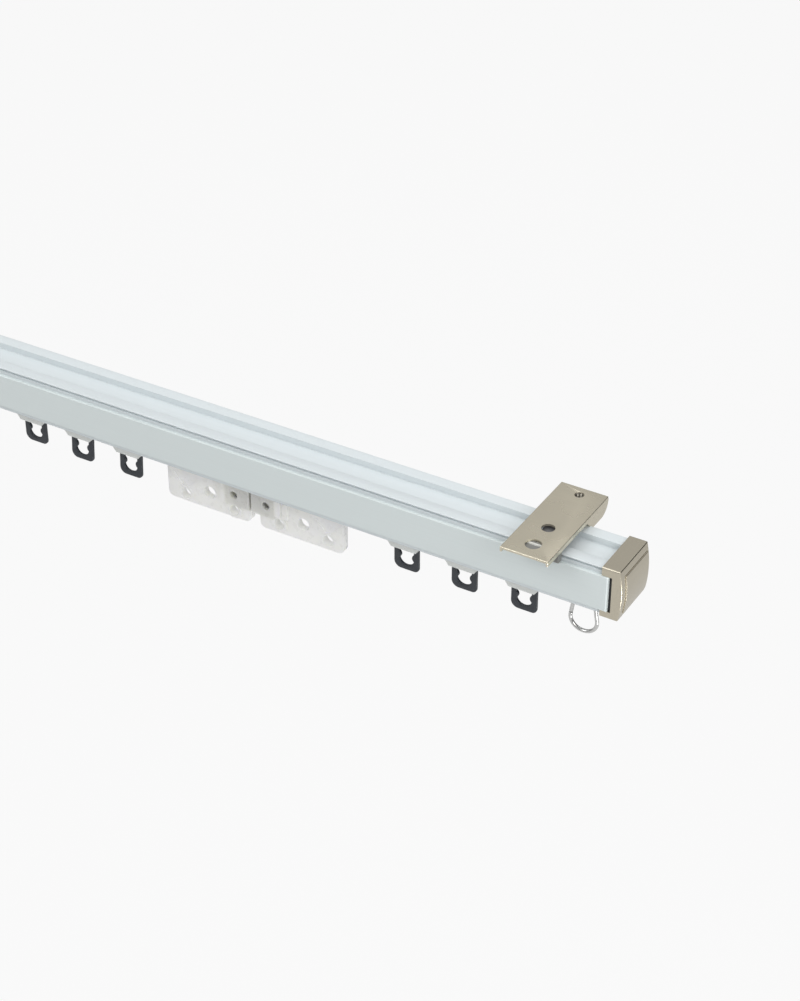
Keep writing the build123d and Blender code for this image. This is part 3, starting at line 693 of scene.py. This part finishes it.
carrier_finish = milky_plastic("carrier_milk", carrier_milk)
magnet_finish = satin_nickel("magnet_nickel", magnet_nickel, roughness=0.3, grain=fine_grain)
for side in ("left", "right"):
    eased("carrier_" + side, "carrier_" + side, carrier_finish, carrier_ease)
    dress("carrier_magnet_" + side, magnet_finish)
    dress("carrier_inner_glide_" + side, runner_finish)
    dress("carrier_outer_glide_" + side, runner_finish)


# Floor and light
# A plain pale floor well below the track, and broad soft lamps. The floor's own
# shade keeps the object's shadow, and what the camera sees of it stays near white.
floor_z = -0.45
floor_half = 8.0
paper_shade = (0.70, 0.70, 0.70, 1)
paper_white = 0.972
paper_glow = 0.93
card_black = (0.01, 0.01, 0.01, 1)
sky_low, sky_high = 0.23, 0.61
sky_rise = 0.8
# Each lamp's place, target, side and power, then each card's place and side.
lamps = {
    "lamp_top": ((0.3, 0.3, 1.6), (0.0, 0.0, 0.0), 1.5, 10.3),
    "lamp_front": ((-0.75, -1.25, 1.2), (0.0, 0.0, -0.03), 0.9, 9.0),
    "lamp_right": ((1.4, -0.7, 0.8), (0.1, 0.0, -0.02), 0.9, 8.0),
    "lamp_edge": ((0.52, -0.18, -0.26), (0.2, 0.0, -0.02), 0.10, 0.30)}
cards = {"card_bend": ((0.72, 0.86, 0.19), 0.95), "card_front": ((-0.24, -1.08, 0.21), 0.42)}
card_target = (0.2, 0.0, 0.0)


def aimed(place, target):
    """The turn that points an object's -Z from its place to a target."""
    return (Vector(target) - Vector(place)).to_track_quat("-Z", "Y").to_euler()


def flat_square(name, half, height, material):
    """A level square face, whose sides are 2 half long."""
    mesh = bpy.data.meshes.new(name)
    corners = [(x * half, y * half, height) for x, y in ((-1, -1), (1, -1), (1, 1), (-1, 1))]
    mesh.from_pydata(corners, [], [(0, 1, 2, 3)])
    mesh.materials.append(material)
    square = bpy.data.objects.new(name, mesh)
    bpy.context.scene.collection.objects.link(square)
    return square


floor_paint, floor_tree, floor_shader = new_finish("floor_paper")
floor_shader.inputs["Base Color"].default_value = paper_shade
floor_shader.inputs["Roughness"].default_value = 0.9
glow = floor_tree.nodes.new("ShaderNodeEmission")
glow.inputs["Color"].default_value = (1, 1, 1, 1)
glow.inputs["Strength"].default_value = paper_white
rays = floor_tree.nodes.new("ShaderNodeLightPath")
seen = arithmetic(floor_tree, "MULTIPLY", rays.outputs["Is Camera Ray"], paper_glow)
mix = floor_tree.nodes.new("ShaderNodeMixShader")
floor_tree.links.new(seen, mix.inputs["Fac"])
floor_tree.links.new(floor_shader.outputs["BSDF"], mix.inputs[1])
floor_tree.links.new(glow.outputs["Emission"], mix.inputs[2])
floor_tree.links.new(mix.outputs["Shader"], floor_tree.nodes["Material Output"].inputs["Surface"])
floor = flat_square("floor", floor_half, floor_z, floor_paint)

for name, (place, target, size, power) in lamps.items():
    lamp = bpy.data.lights.new(name, "AREA")
    lamp.shape = "SQUARE"
    lamp.size = size
    lamp.energy = power
    lamp_object = bpy.data.objects.new(name, lamp)
    lamp_object.location = place
    lamp_object.rotation_euler = aimed(place, target)
    lamp_object.visible_camera = False
    bpy.context.scene.collection.objects.link(lamp_object)

# Only reflections see the black cards, which draw dark lines along bright edges.
card_paint, _, card_shader = new_finish("card_black")
card_shader.inputs["Base Color"].default_value = card_black
card_shader.inputs["Roughness"].default_value = 1.0
card_shader.inputs["Specular IOR Level"].default_value = 0.0
for name, (place, size) in cards.items():
    card = flat_square(name, size / 2, 0.0, card_paint)
    card.location = place
    card.rotation_euler = aimed(place, card_target)
    card.visible_camera = False
    card.visible_diffuse = False
    card.visible_shadow = False

world = bpy.data.worlds.new("world")
bpy.context.scene.world = world
world.use_nodes = True
sky = world.node_tree.nodes["Background"]
dome = world.node_tree.nodes.new("ShaderNodeTexCoord")
height = world.node_tree.nodes.new("ShaderNodeSeparateXYZ")
fade = world.node_tree.nodes.new("ShaderNodeMapRange")
fade.inputs["From Min"].default_value = 0.0
fade.inputs["From Max"].default_value = sky_rise
fade.inputs["To Min"].default_value = sky_low
fade.inputs["To Max"].default_value = sky_high
world.node_tree.links.new(dome.outputs["Generated"], height.inputs["Vector"])
world.node_tree.links.new(height.outputs["Z"], fade.inputs["Value"])
world.node_tree.links.new(fade.outputs["Result"], sky.inputs["Strength"])
sky.inputs["Color"].default_value = (1, 1, 1, 1)

bpy.context.scene.view_settings.view_transform = "Standard"
